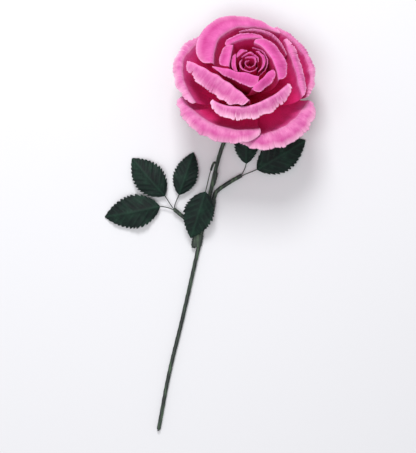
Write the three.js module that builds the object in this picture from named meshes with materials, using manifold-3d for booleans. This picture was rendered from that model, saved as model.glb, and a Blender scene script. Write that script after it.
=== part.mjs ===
// A crepe paper rose with a hand-bent neck, lying on its back on a table.
// Millimetres, +Z up. The table is at Z = 0, the bloom's foot is above X = 0, Y = 0, and the stem runs
// along -Y.
//
// Every petal is one piece of crepe paper, glued by its narrow foot to a tall core. It rises as a cupped
// wall to its crest, where the rim is folded outwards and hangs as a band. The petals are laid one after
// the other from the bud outwards, so each one lies outside all those before it.
import * as THREE from "three";
import { mergeVertices } from "three/addons/utils/BufferGeometryUtils.js";
import Module from "manifold-3d";

const wasm = await Module();
wasm.setup();

// ---- Driving dimensions ------------------------------------------------------------------------------
const GAP = 0.3; // left between pieces that touch
const PETAL_PAPER = 0.5; // thickness of the crepe paper once it is shaped
const LEAF_PAPER = 0.4;
const STEM_WIRE_R = 1;
const LEAF_WIRE_R = 0.4;
const TAPE = 0.3; // thickness of the wound floral tape
const STEM_TAPE_R = STEM_WIRE_R + GAP + TAPE;
const STALK_TAPE_R = 1.7; // outside of the tape around two or three leaf wires
const WIRE_END = 1.5; // bare wire at the stem's cut end

// The bloom has its own frame: origin at the foot of the petals, +Z out of the face, +Y to its top.
const BLOOM_TILT = 30; // degrees that the bloom's axis leans from straight up, towards +Y
const HIP = 8.5; // straight stem under the bloom, before the bend
const NECK_R = 13; // bend of the stem behind the bloom
const NECK_STEPS = 6;
const STEM_SLANT = 24; // degrees between the stem where it reaches the table and -Y
const STEM_REST = STEM_TAPE_R + GAP + TAPE + 0.2; // the stem's height, as it lies on its leaf bindings
const STEM_RUN = [
  // where the stem lies: x, y, height
  [-19, -42, STEM_REST],
  [-32, -90, STEM_REST],
  [-41, -132, STEM_REST],
  [-54, -190, 2],
  [-66, -240, 1.8],
  [-75, -288, STEM_TAPE_R],
];

const MIDDLE = new THREE.Vector3(-32.85, -114.1, 0.06); // of the finished flower's outline, at the table

// ---- Small helpers -----------------------------------------------------------------------------------
const rad = THREE.MathUtils.degToRad;
const V = (x, y, z) => new THREE.Vector3(x, y, z);
const polar = (azimuth, r, z) => V(r * Math.cos(rad(azimuth)), r * Math.sin(rad(azimuth)), z);
const UP = V(0, 0, 1);

// The value at s of a smooth curve through left (s = -1), middle (s = 0) and right (s = 1).
const through = ([left, middle, right], s) =>
  (left * s * (s - 1)) / 2 + middle * (1 - s * s) + (right * s * (s + 1)) / 2;

// A closed sheet of the given thickness around a grid of points, points[row][column].
function sheet(points, thickness) {
  const rows = points.length;
  const columns = points[0].length;
  const at = (i, j) => points[Math.min(Math.max(i, 0), rows - 1)][Math.min(Math.max(j, 0), columns - 1)];
  const position = [];
  for (const side of [1, -1])
    for (let i = 0; i < rows; i++)
      for (let j = 0; j < columns; j++) {
        const along = at(i + 1, j).clone().sub(at(i - 1, j));
        const across = at(i, j + 1).clone().sub(at(i, j - 1));
        const normal = across.cross(along).normalize();
        position.push(...at(i, j).clone().addScaledVector(normal, (side * thickness) / 2));
      }
  const index = [];
  const front = (i, j) => i * columns + j;
  const back = (i, j) => rows * columns + i * columns + j;
  const quad = (a, b, c, d) => index.push(a, b, c, a, c, d);
  for (let i = 0; i < rows - 1; i++)
    for (let j = 0; j < columns - 1; j++) {
      quad(front(i, j), front(i, j + 1), front(i + 1, j + 1), front(i + 1, j));
      quad(back(i, j), back(i + 1, j), back(i + 1, j + 1), back(i, j + 1));
    }
  for (let i = 0; i < rows - 1; i++) {
    quad(front(i, 0), front(i + 1, 0), back(i + 1, 0), back(i, 0));
    quad(front(i + 1, columns - 1), front(i, columns - 1), back(i, columns - 1), back(i + 1, columns - 1));
  }
  for (let j = 0; j < columns - 1; j++) {
    quad(front(0, j + 1), front(0, j), back(0, j), back(0, j + 1));
    quad(front(rows - 1, j), front(rows - 1, j + 1), back(rows - 1, j + 1), back(rows - 1, j));
  }
  const geometry = new THREE.BufferGeometry();
  geometry.setAttribute("position", new THREE.Float32BufferAttribute(position, 3));
  geometry.setIndex(index);
  return geometry;
}

// ---- Petals ------------------------------------------------------------------------------------------
// In the order in which they are laid. crest: azimuth, radius and height of the fold at the petal's left
// end, middle and right end. fold: degrees that the rim turns there. band: width of the folded rim there.
// bend: radius of the fold. lean: degrees that the top of the wall leans outwards.
const PETALS = [
  {
    name: "bud_petal_1",
    wrap: true,
    crest: [[90, 2.6, 41], [200, 2.9, 41.5], [310, 3.3, 41]],
    fold: [20, 40, 30],
    band: [1, 1.4, 1],
    bend: 0.8,
    lean: 0,
  },
  {
    name: "bud_petal_2",
    wrap: true,
    crest: [[-60, 4.2, 42], [40, 4.7, 43], [130, 5.1, 42]],
    fold: [20, 60, 40],
    band: [1, 1.8, 1],
    bend: 0.8,
    lean: 0,
  },
  {
    name: "bud_petal_3",
    wrap: true,
    crest: [[150, 6.2, 42], [235, 7.4, 42.5], [330, 7.2, 41.5]],
    fold: [40, 70, 30],
    band: [1, 2, 1],
    bend: 0.8,
    lean: 0,
  },
  {
    name: "bud_petal_4",
    wrap: true,
    crest: [[5, 7.2, 42.5], [75, 7.2, 44], [140, 7.8, 42]],
    fold: [50, 70, 40],
    band: [1, 1.6, 1],
    bend: 0.8,
    lean: 2,
  },
  {
    name: "bud_petal_5",
    wrap: true,
    crest: [[-48, 10.2, 42], [8, 10.8, 43.5], [62, 11.2, 43]],
    fold: [60, 105, 60],
    band: [1.2, 2.6, 1.2],
    bend: 0.9,
    lean: 2,
  },
  {
    name: "bud_petal_6",
    wrap: true,
    crest: [[98, 10.8, 43.5], [125, 9.4, 45], [154, 11, 43]],
    fold: [80, 110, 80],
    band: [1.5, 3.6, 2],
    bend: 0.9,
    lean: 2,
  },
  {
    name: "bud_petal_7",
    wrap: true,
    crest: [[143, 13, 43], [180, 11, 44.5], [222, 12.6, 43]],
    fold: [80, 115, 70],
    band: [1.5, 4, 3],
    bend: 0.9,
    lean: 3,
  },
  {
    name: "bud_petal_8",
    wrap: true,
    crest: [[-55, 13.2, 41], [10, 14.2, 43], [80, 13.8, 42.5]],
    fold: [15, 30, 20],
    band: [0.9, 1.2, 0.9],
    bend: 0.9,
    lean: 3,
  },
  {
    name: "inner_petal_1",
    crest: [[129, 19.7, 44], [166, 15.6, 46], [197, 16.6, 45]],
    fold: [75, 112, 90],
    band: [5, 10.5, 7],
    bend: 1.3,
    lean: 8,
  },
  {
    name: "inner_petal_2",
    crest: [[185, 29.5, 42], [229, 13.8, 46.5], [297, 16.6, 46.5]],
    fold: [110, 120, 105],
    band: [3, 9, 12],
    bend: 1.3,
    lean: 8,
  },
  {
    name: "inner_petal_3",
    crest: [[274, 24.5, 43], [303, 18.6, 46], [337, 19.8, 45]],
    fold: [105, 115, 60],
    band: [7, 9, 6],
    bend: 1.3,
    lean: 8,
  },
  {
    name: "inner_petal_4",
    crest: [[325, 28, 43], [374, 17, 46.5], [437, 17.6, 45.5]],
    fold: [105, 110, 80],
    band: [9, 12, 6],
    bend: 1.4,
    lean: 8,
  },
  {
    name: "inner_petal_5",
    crest: [[62, 23.5, 44], [103, 20.4, 46.5], [142, 22.8, 44]],
    fold: [100, 110, 100],
    band: [4, 6.5, 6],
    bend: 1.3,
    lean: 8,
  },
  {
    name: "middle_petal_1",
    crest: [[22, 32.6, 34], [62, 33, 38.5], [104, 32, 38.5]],
    fold: [20, 40, 30],
    band: [1.2, 2, 1.4],
    bend: 1,
    lean: 14,
  },
  {
    name: "middle_petal_2",
    crest: [[53, 42.6, 32], [115, 36.2, 38.5], [176, 28.5, 37.5]],
    fold: [95, 85, 95],
    band: [2.8, 15, 18],
    bend: 3,
    lean: 16,
  },
  {
    name: "middle_petal_3",
    crest: [[171, 49.5, 33], [209, 24.8, 39], [270, 31.5, 38]],
    fold: [105, 118, 100],
    band: [9, 16, 11],
    bend: 1.5,
    lean: 12,
  },
  {
    name: "middle_petal_4",
    crest: [[223, 39.5, 30], [270, 33.5, 33.5], [334, 34.5, 36]],
    fold: [110, 118, 105],
    band: [10, 12.5, 11],
    bend: 1.7,
    lean: 15,
  },
  {
    name: "middle_petal_5",
    crest: [[331, 48, 29], [363, 35.5, 36], [402.5, 38.3, 35.3]],
    fold: [100, 115, 80],
    band: [6, 8, 5.5],
    bend: 2,
    lean: 15,
  },
  {
    name: "outer_petal_1",
    crest: [[338, 49, 20], [375, 48, 27], [424, 48, 25]],
    fold: [80, 105, 90],
    band: [4, 5.5, 4.5],
    bend: 2,
    lean: 30,
  },
  {
    name: "outer_petal_2",
    crest: [[130, 46, 24], [168, 54, 25], [208, 48.5, 19]],
    fold: [95, 108, 90],
    band: [8, 9.5, 8],
    bend: 3.5,
    lean: 30,
  },
  {
    name: "outer_petal_3",
    crest: [[194, 55, 12], [236, 49.5, 16.5], [281, 45, 15]],
    fold: [105, 112, 100],
    band: [10, 16, 12],
    bend: 8.5,
    lean: 34,
  },
  {
    name: "outer_petal_4",
    crest: [[258, 46, 9], [300, 49.5, 12.5], [340, 51, 14]],
    fold: [95, 105, 95],
    band: [12, 18, 12],
    bend: 10.5,
    lean: 40,
  },
  {
    name: "outer_petal_5",
    crest: [[50, 44, 17], [96, 48, 15], [146, 44, 16]],
    fold: [90, 100, 90],
    band: [6, 9, 6],
    bend: 4.5,
    lean: 40,
  },
];
const FOOT_TOP = { r: 3.4, z: 15 }; // where the first petal is glued
const FOOT_STEP = { r: 0.25, z: -0.66 }; // from each petal to the next
const FOOT_SPAN = 58; // degrees round the core that a foot covers to each side
const FIRST_WALL_RISES = 55; // degrees above level at which the first petal's wall leaves the core
const LAST_WALL_RISES = -12;
const WALL_PULL = 0.35; // how far the wall's curve follows each of its two end directions
const LEAST_BAND = 0.8; // width of the folded rim at its narrowest
const CORNER_BAND = 0.25; // share of the rim's width that is left at its two corners
const CORNER_POWER = 5; // higher is a squarer corner
const PETAL_COLUMNS = 10;
const WALL_ROWS = 6;
const FOLD_ROWS = 4;

// The fold's line: an arc round the axis for a petal that wraps the bud, and a flatter curve for the others.
function crestPoint({ crest, wrap }, s) {
  if (wrap) return polar(...[0, 1, 2].map((k) => through(crest.map((c) => c[k]), s)));
  const ends = crest.map((c) => polar(...c));
  return V(...["x", "y", "z"].map((k) => through(ends.map((p) => p[k]), s)));
}

// One line up the petal at s, from -1 at its left edge to 1 at its right: the wall, then the folded rim.
function petalLine(petal, order, s) {
  const step = 0.01;
  const crest = crestPoint(petal, s);
  const along = crestPoint(petal, s + step).sub(crestPoint(petal, s - step));
  const out = V(along.y, -along.x, 0).normalize(); // the level direction away from the axis
  const lean = rad(petal.lean);
  const rise = UP.clone().multiplyScalar(Math.cos(lean)).addScaledVector(out, Math.sin(lean));

  const middle = crestPoint(petal, 0);
  const facing = THREE.MathUtils.radToDeg(Math.atan2(middle.y, middle.x));
  const share = order / (PETALS.length - 1);
  const foot = polar(
    facing + s * FOOT_SPAN,
    FOOT_TOP.r + order * FOOT_STEP.r,
    FOOT_TOP.z + order * FOOT_STEP.z,
  );
  const reach = crest.distanceTo(foot);
  const leave = rad(THREE.MathUtils.lerp(FIRST_WALL_RISES, LAST_WALL_RISES, share));
  const start = V(foot.x, foot.y, 0).normalize().multiplyScalar(Math.cos(leave));
  start.addScaledVector(UP, Math.sin(leave));
  const wall = new THREE.CubicBezierCurve3(
    foot,
    foot.clone().addScaledVector(start, reach * WALL_PULL),
    crest.clone().addScaledVector(rise, -reach * WALL_PULL),
    crest,
  );
  const line = [];
  for (let i = 0; i <= WALL_ROWS; i++) line.push(wall.getPoint(i / WALL_ROWS));

  const turn = rad(through(petal.fold, s));
  const corner = Math.sqrt(1 - Math.pow(Math.abs(s), CORNER_POWER));
  const kept = THREE.MathUtils.lerp(CORNER_BAND, 1, corner);
  const width = Math.max(through(petal.band, s) * kept, LEAST_BAND);
  const arc = Math.min(petal.bend * turn, width);
  const bend = arc / turn;
  for (let i = 1; i <= FOLD_ROWS; i++) {
    const walked = (width * i) / FOLD_ROWS;
    const angle = Math.min(walked / bend, turn);
    const tail = Math.max(walked - arc, 0);
    const sideways = bend * (Math.cos(lean) - Math.cos(lean + angle)) + tail * Math.sin(lean + angle);
    const upwards = bend * (Math.sin(lean + angle) - Math.sin(lean)) + tail * Math.cos(lean + angle);
    line.push(crest.clone().addScaledVector(out, sideways).addScaledVector(UP, upwards));
  }
  return line;
}

function petalSheet(petal, order) {
  const lines = [];
  for (let j = 0; j <= PETAL_COLUMNS; j++) lines.push(petalLine(petal, order, (2 * j) / PETAL_COLUMNS - 1));
  const rows = lines[0].map((_, i) => lines.map((line) => line[i]));
  return sheet(rows, PETAL_PAPER);
}

// ---- Wires and tape ----------------------------------------------------------------------------------
// A smooth path with a step at each of its points, wherever they lie.
class PointPath extends THREE.CatmullRomCurve3 {
  constructor(points) {
    super(points, false, "centripetal");
  }
  getUtoTmapping(u) {
    return u;
  }
}

function tube(points, outer, inner = 0, sides = 8) {
  const section = new THREE.Shape().absarc(0, 0, outer, 0, 2 * Math.PI);
  if (inner) section.holes.push(new THREE.Path().absarc(0, 0, inner, 0, 2 * Math.PI));
  const extrudePath = new PointPath(points);
  const steps = points.length - 1;
  return new THREE.ExtrudeGeometry(section, { extrudePath, steps, curveSegments: sides / 2 });
}

// The stem from inside the bloom's core, round the neck and along the table.
const down = V(0, -Math.sin(rad(BLOOM_TILT)), -Math.cos(rad(BLOOM_TILT)));
const heading = V(-Math.sin(rad(STEM_SLANT)), -Math.cos(rad(STEM_SLANT)), 0);
function stemPoints() {
  const bend = down.angleTo(heading);
  const inwards = heading.clone().addScaledVector(down, -heading.dot(down)).normalize();
  const neck = [];
  for (let i = 0; i <= NECK_STEPS; i++) {
    const turned = (bend * i) / NECK_STEPS;
    const point = down.clone().multiplyScalar(HIP + NECK_R * Math.sin(turned));
    neck.push(point.addScaledVector(inwards, NECK_R * (1 - Math.cos(turned))));
  }
  const lift = STEM_REST - neck[NECK_STEPS].z;
  neck.forEach((point) => (point.z += lift));
  const foot = V(0, 0, lift);
  return { foot, points: [foot, ...neck, ...STEM_RUN.map((p) => V(...p))] };
}
const stem = stemPoints();

// The point on the stem where it crosses y, and the way the stem runs there towards the bloom.
function onStem(y) {
  const i = stem.points.findIndex((p) => p.y < y);
  const [before, after] = [stem.points[i - 1], stem.points[i]];
  const at = after.clone().lerp(before, (y - after.y) / (before.y - after.y));
  return { at, along: before.clone().sub(after).normalize() };
}

// ---- Bloom core and calyx ----------------------------------------------------------------------------
const CORE_TOP = 37;
const CORE_TIP_R = 1.6;
const CORE_SHOULDER = 8; // height in which the core narrows to its tip, above the first foot
const CORE_RIM = 0.8; // height of the core's upright edge at its base
const WIRE_IN_CORE = 12;

function core() {
  const slope = FOOT_STEP.r / -FOOT_STEP.z; // the core's side follows the petals' feet
  const clear = PETAL_PAPER / 2 + 2 * GAP;
  const radius = (z) => FOOT_TOP.r - clear + (FOOT_TOP.z - z) * slope;
  const bore = STEM_WIRE_R + GAP;
  const tip = radius(FOOT_TOP.z);
  const profile = [
    [0, WIRE_IN_CORE + GAP],
    [bore, WIRE_IN_CORE + GAP],
    [bore, 0],
    [radius(CORE_RIM), 0],
    [radius(CORE_RIM), CORE_RIM],
    [tip, FOOT_TOP.z],
    [CORE_TIP_R, FOOT_TOP.z + CORE_SHOULDER],
    [CORE_TIP_R, CORE_TOP - 2],
    [CORE_TIP_R * 0.7, CORE_TOP - 0.6],
    [0, CORE_TOP],
  ];
  return new THREE.LatheGeometry(profile.map(([r, z]) => new THREE.Vector2(r, z)), 16).rotateX(Math.PI / 2);
}

// Five points of the calyx: azimuth, then radius and height at half length and at the tip.
const SEPALS = [
  { azimuth: 54, half: [16, -3.6], tip: [25, -2.2] },
  { azimuth: 126, half: [16, -3.6], tip: [25, -2.2] },
  { azimuth: 198, half: [15, -6], tip: [23, -13] },
  { azimuth: 270, half: [14, -7], tip: [19, -16] },
  { azimuth: 342, half: [15, -6], tip: [23, -13] },
];
const SEPAL_WIDTH = 4;
const SEPAL_TAPER = 0.85; // share of its width that a point has lost at its tip
const SEPAL_PAPER = LEAF_PAPER + 0.2;
const SEPAL_ROWS = 6;
const CUP = { top: -1.2, r: 7.6, low: -8, neck: 3.2 };

function cup() {
  const bore = STEM_TAPE_R + GAP;
  const profile = [
    [bore, CUP.top],
    [bore, CUP.low],
    [CUP.neck, CUP.low],
    [CUP.neck + 2, CUP.low + 2],
    [CUP.r, CUP.top - 2.5],
    [CUP.r, CUP.top],
    [bore, CUP.top],
  ];
  return new THREE.LatheGeometry(profile.map(([r, z]) => new THREE.Vector2(r, z)), 20).rotateX(Math.PI / 2);
}

function sepal({ azimuth, half, tip }) {
  const root = polar(azimuth, CUP.r - 2, CUP.top - 1.6);
  const line = new THREE.CatmullRomCurve3([root, polar(azimuth, ...half), polar(azimuth, ...tip)]);
  const side = polar(azimuth + 90, 1, 0);
  const rows = [];
  for (let i = 0; i <= SEPAL_ROWS; i++) {
    const s = i / SEPAL_ROWS;
    const width = (SEPAL_WIDTH / 2) * (1 - SEPAL_TAPER * s * s);
    rows.push([-1, 0, 1].map((k) => line.getPoint(s).addScaledVector(side, k * width)));
  }
  return sheet(rows, SEPAL_PAPER);
}

function toSolid(geometry) {
  const bare = new THREE.BufferGeometry();
  bare.setAttribute("position", geometry.getAttribute("position"));
  bare.setIndex(geometry.index);
  const merged = mergeVertices(bare, 1e-3);
  const vertProperties = merged.getAttribute("position").array;
  return new wasm.Manifold(new wasm.Mesh({ numProp: 3, vertProperties, triVerts: merged.index.array }));
}

function toGeometry(solid) {
  const mesh = solid.getMesh();
  const geometry = new THREE.BufferGeometry();
  geometry.setAttribute("position", new THREE.BufferAttribute(mesh.vertProperties, 3));
  return geometry.setIndex(new THREE.BufferAttribute(mesh.triVerts, 1));
}

const calyx = () => toGeometry(SEPALS.reduce((solid, s) => solid.add(toSolid(sepal(s))), toSolid(cup())));

// ---- Leaves ------------------------------------------------------------------------------------------
// A spray is bound to the stem at one place, and its wires fan out to their leaves at the fork.
// stalk: the points from the binding to the fork. leaves: base, tip, width and rise of the midrib.
const SPRAYS = [
  {
    name: "left",
    bound: -126,
    side: V(-1, 0, 0),
    stalk: [[-44.6, -114, 2.4], [-52, -107, 3], [-61, -99.5, 3.6]],
    leaves: [
      { base: [-73, -97, 4], tip: [-119, -106, 0.8], width: 29, rise: 5 },
      { base: [-69, -88, 4.2], tip: [-96, -57, 1.2], width: 27, rise: 5 },
      { base: [-57, -87, 4.4], tip: [-45, -52, 1.2], width: 21, rise: 4.5 },
    ],
  },
  {
    name: "right",
    bound: -96,
    side: V(1, 0, 0),
    stalk: [[-26, -85, 2.4], [-16, -77.5, 3], [-5, -71, 3.6]],
    leaves: [
      { base: [-1, -61, 4.4], tip: [-1, -24, 1.2], width: 21, rise: 4 },
      { base: [8, -66, 4], tip: [48, -42, 1.2], width: 29, rise: 5 },
    ],
  },
  {
    name: "front",
    bound: -74,
    side: V(0, 0, 1),
    stalk: [[-26.5, -66.5, 6.2], [-26, -61, 9.5], [-28, -60, 14], [-30.5, -66, 16.5]],
    leaves: [{ base: [-35, -84, 14.5], tip: [-47, -123, 6.5], width: 26, rise: 2 }],
  },
];
const LEAF_TEETH = 7;
const LEAF_HALF_COLUMNS = 2;
const LEAF_DROOP = 12; // degrees that each half falls away from the midrib
const TOOTH = 0.13; // depth of the edge's notches, as a share of the leaf's half width
const NARROWEST = 0.06; // least half width of a leaf, as a share of its widest
const WIRE_ALONG_LEAF = 0.6;
const BINDING_LENGTH = 12;

function midrib({ base, tip, rise }) {
  const [from, to] = [V(...base), V(...tip)];
  const middle = from.clone().add(to).multiplyScalar(0.5);
  return new THREE.QuadraticBezierCurve3(from, middle.addScaledVector(UP, 2 * rise), to);
}

function leafBlade(leaf) {
  const rib = midrib(leaf);
  const forwards = V(...leaf.tip).sub(V(...leaf.base)).setZ(0);
  const length = forwards.length();
  forwards.normalize();
  const side = UP.clone().cross(forwards);
  const stations = 2 * LEAF_TEETH;
  const rows = [];
  for (let i = 0; i <= stations; i++) {
    const s = i / stations;
    const outline = Math.pow(Math.sin(Math.PI * Math.pow(s, 0.8)), 0.8);
    const half = (leaf.width / 2) * Math.max(outline, NARROWEST) * (i % 2 ? 1 : 1 - TOOTH);
    const row = [];
    for (let j = -LEAF_HALF_COLUMNS; j <= LEAF_HALF_COLUMNS; j++) {
      const reach = (j / LEAF_HALF_COLUMNS) * half;
      const fall = Math.abs(reach) * Math.tan(rad(LEAF_DROOP));
      const swept = i % 2 ? (Math.abs(j) / LEAF_HALF_COLUMNS) * (length / stations) * 0.5 : 0;
      const point = rib.getPoint(s).addScaledVector(side, reach).addScaledVector(forwards, swept);
      point.z = Math.max(point.z - fall, LEAF_PAPER);
      row.push(point);
    }
    rows.push(row);
  }
  return sheet(rows, LEAF_PAPER);
}

// Where each of the wires runs inside the tape of the stalk.
const WIRE_PLACES = {
  1: [[0, 0]],
  2: [[-0.55, 0], [0.55, 0]],
  3: [[-0.58, -0.33], [0, 0.67], [0.58, -0.33]],
};

// The stalk's centre line, from its bound end to the fork.
function stalkLine(spray) {
  const { at, along } = onStem(spray.bound);
  const tapeR = stalkTapeR(spray);
  const beside = at.addScaledVector(spray.side, STEM_TAPE_R + tapeR + 3 * GAP);
  const bound = [-0.5, 0.5].map((k) => beside.clone().addScaledVector(along, k * BINDING_LENGTH));
  return [...bound, ...spray.stalk.map((p) => V(...p))];
}

const stalkTapeR = (spray) => (spray.leaves.length > 1 ? STALK_TAPE_R : LEAF_WIRE_R + GAP + TAPE);

function leafWire(spray, k) {
  const line = stalkLine(spray);
  const path = new PointPath(line);
  const [a, b] = WIRE_PLACES[spray.leaves.length][k];
  const points = line.map((point, i) => {
    const along = path.getTangentAt(i / (line.length - 1));
    const side = along.clone().cross(UP).normalize();
    const over = side.clone().cross(along);
    return point.clone().addScaledVector(side, a).addScaledVector(over, b);
  });
  const rib = midrib(spray.leaves[k]);
  const below = -(LEAF_PAPER / 2 + GAP + LEAF_WIRE_R);
  for (const s of [0, 1 / 3, 2 / 3, 1]) {
    points.push(rib.getPoint(s * WIRE_ALONG_LEAF).addScaledVector(UP, below));
  }
  return tube(points, LEAF_WIRE_R, 0, 6);
}

function stalkTape(spray) {
  const r = stalkTapeR(spray);
  return tube(stalkLine(spray), r, r - TAPE);
}

// The wound tape that holds a stalk against the stem: an oval sleeve with a hole for each of them.
function binding(spray) {
  const { at, along } = onStem(spray.bound);
  const tapeR = stalkTapeR(spray);
  const apart = STEM_TAPE_R + tapeR + 3 * GAP;
  const wall = GAP + TAPE;
  const section = new THREE.Shape();
  section.absarc(0, 0, STEM_TAPE_R + wall, Math.PI / 2, (3 * Math.PI) / 2);
  section.absarc(apart, 0, tapeR + wall, -Math.PI / 2, Math.PI / 2);
  section.holes.push(new THREE.Path().absarc(0, 0, STEM_TAPE_R + GAP, 0, 2 * Math.PI));
  section.holes.push(new THREE.Path().absarc(apart, 0, tapeR + GAP, 0, 2 * Math.PI));
  const sleeve = new THREE.ExtrudeGeometry(section, {
    depth: BINDING_LENGTH - 1,
    bevelEnabled: false,
    curveSegments: 6,
  });
  sleeve.translate(0, 0, (1 - BINDING_LENGTH) / 2);
  const across = spray.side.clone().addScaledVector(along, -spray.side.dot(along)).normalize();
  const frame = new THREE.Matrix4().makeBasis(across, along.clone().cross(across), along);
  return sleeve.applyMatrix4(frame.setPosition(at));
}

// ---- Assembly ----------------------------------------------------------------------------------------
const flower = new THREE.Group(); // its origin is the middle of the table that the flower covers
const rose = new THREE.Group();
rose.position.copy(MIDDLE).negate();
flower.add(rose);
const bloom = new THREE.Group();
bloom.position.copy(stem.foot);
bloom.rotation.x = -rad(BLOOM_TILT);
rose.add(bloom);

function add(group, name, geometry, material) {
  const mesh = new THREE.Mesh(geometry, material);
  mesh.name = name;
  group.add(mesh);
}

const paper = (color) => new THREE.MeshStandardMaterial({ color, roughness: 0.85, metalness: 0 });
const petalPaper = paper(0xe0559f);
const leafPaper = paper(0x173726);
const sepalPaper = paper(0x4f8a62);
const tapeGreen = new THREE.MeshStandardMaterial({ color: 0x21302b, roughness: 0.6, metalness: 0 });
const steel = new THREE.MeshStandardMaterial({ color: 0x8c8f91, roughness: 0.4, metalness: 1 });

PETALS.forEach((petal, order) => add(bloom, petal.name, petalSheet(petal, order), petalPaper));
add(bloom, "bloom_core", core(), petalPaper);
add(bloom, "calyx", calyx(), sepalPaper);

const wireTop = stem.foot.clone().addScaledVector(down, -WIRE_IN_CORE);
add(rose, "stem_wire", tube([wireTop, ...stem.points], STEM_WIRE_R), steel);
const taped = stem.points.slice();
const cut = taped.pop();
taped.push(cut.clone().add(taped.at(-1).clone().sub(cut).setLength(WIRE_END)));
taped[0] = stem.foot.clone().addScaledVector(down, 2 * GAP);
add(rose, "stem_tape", tube(taped, STEM_TAPE_R, STEM_TAPE_R - TAPE), tapeGreen);

for (const spray of SPRAYS) {
  add(rose, `stalk_tape_${spray.name}`, stalkTape(spray), tapeGreen);
  add(rose, `binding_${spray.name}`, binding(spray), tapeGreen);
  spray.leaves.forEach((leaf, k) => {
    const label = spray.leaves.length > 1 ? `${spray.name}_${k + 1}` : spray.name;
    add(rose, `leaf_${label}`, leafBlade(leaf), leafPaper);
    add(rose, `leaf_wire_${label}`, leafWire(spray, k), tapeGreen);
  });
}

export default flower;
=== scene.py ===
"""A pink crepe paper rose with dark green leaves, lying on its back on a pale table.

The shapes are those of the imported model, worked out again with the paper's own detail: crinkles,
frilled rims, toothed leaves with veins, and tape wound round the stem. Lengths are millimetres until a
mesh is made.
"""

import math
from collections import namedtuple

import bpy
import numpy as np
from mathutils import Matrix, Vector


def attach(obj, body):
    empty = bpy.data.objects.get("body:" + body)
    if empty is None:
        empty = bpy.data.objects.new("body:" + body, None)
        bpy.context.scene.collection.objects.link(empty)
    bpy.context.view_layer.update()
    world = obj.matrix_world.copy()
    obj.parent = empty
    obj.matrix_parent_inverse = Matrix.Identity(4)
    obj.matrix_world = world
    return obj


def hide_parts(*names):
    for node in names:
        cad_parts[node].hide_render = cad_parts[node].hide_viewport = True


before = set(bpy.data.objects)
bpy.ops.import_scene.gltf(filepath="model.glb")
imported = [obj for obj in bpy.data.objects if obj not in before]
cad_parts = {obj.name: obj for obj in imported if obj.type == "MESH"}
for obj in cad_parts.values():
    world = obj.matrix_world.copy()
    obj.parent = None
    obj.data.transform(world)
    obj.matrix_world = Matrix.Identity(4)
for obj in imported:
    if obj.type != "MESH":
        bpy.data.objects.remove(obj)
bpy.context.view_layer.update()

MM = 0.001
TAU = 2 * math.pi
UP = np.array([0.0, 0, 1])

# ---- The model's driving dimensions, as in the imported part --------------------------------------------
GAP = 0.3  # left between pieces that touch
STEM_WIRE_R = 1.0
LEAF_WIRE_R = 0.4
TAPE = 0.3  # thickness of the wound floral tape
STEM_TAPE_R = STEM_WIRE_R + GAP + TAPE
STALK_TAPE_R = 1.7  # outside of the tape around two or three leaf wires
WIRE_END = 1.5  # bare wire at the stem's cut end
BLOOM_TILT = math.radians(30)  # how far the bloom's axis leans from straight up, towards +Y
HIP = 8.5  # straight stem under the bloom, before the bend
NECK_R = 13  # bend of the stem behind the bloom
NECK_STEPS = 6
STEM_SLANT = math.radians(24)  # between the stem where it reaches the table and -Y
STEM_REST = STEM_TAPE_R + GAP + TAPE + 0.2  # the stem's height, as it lies on its leaf bindings
STEM_RUN = [  # where the stem lies: x, y, height
    (-19, -42, STEM_REST),
    (-32, -90, STEM_REST),
    (-41, -132, STEM_REST),
    (-54, -190, 2),
    (-66, -240, 1.8),
    (-75, -288, STEM_TAPE_R),
]
MIDDLE = np.array([-32.85, -114.1, 0.06])  # of the finished flower's outline, at the table

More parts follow.
